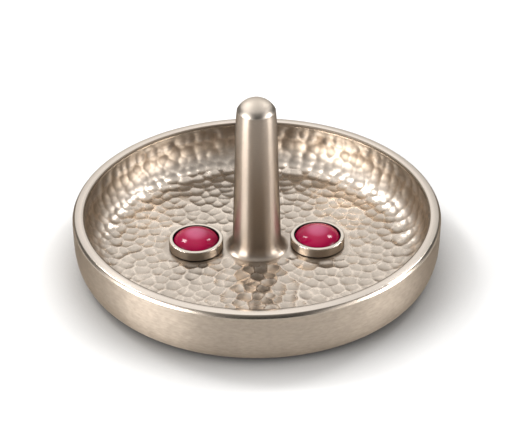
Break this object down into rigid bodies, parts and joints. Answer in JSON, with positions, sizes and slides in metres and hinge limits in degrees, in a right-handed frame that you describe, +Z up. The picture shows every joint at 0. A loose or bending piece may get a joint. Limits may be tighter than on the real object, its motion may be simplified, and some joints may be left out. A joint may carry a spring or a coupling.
{
  "type": "ring dish",
  "caption": "Round hammered-metal dish with a flat polished lip, an upright tapered ring post in the middle and a domed red stone in a bezel on each side of it.",
  "frame": {"origin": "middle of the base disc's underside, on the surface that the dish stands on, under the ring post's axis", "axes": "+Z up along the ring post, X through the middles of the two stones"},
  "size_m": [0.11, 0.11, 0.0547],
  "materials": {
    "cast_dish": "satin nickel plate outside, polished lip, hammered inside",
    "turned_post": "satin nickel plate, brushed along its length",
    "bezel_metal": "polished nickel plate",
    "red_glass": "gloss, raspberry red, foil backed",
    "backing_foil": "bright",
    "screw_steel": "bright zinc plate",
    "rubber": "matt, fine grain"
  },
  "bodies": {
    "root": {"dish_body": "cast_dish", "base_disc": "rubber", "ring_post": "turned_post", "post_screw": "screw_steel", "bezel_left": "bezel_metal", "bezel_right": "bezel_metal", "backing_left": "backing_foil", "backing_right": "backing_foil", "stone_left": "red_glass", "stone_right": "red_glass", "bezel_screw_left": "screw_steel", "bezel_screw_right": "screw_steel"}
  },
  "joints": []
}
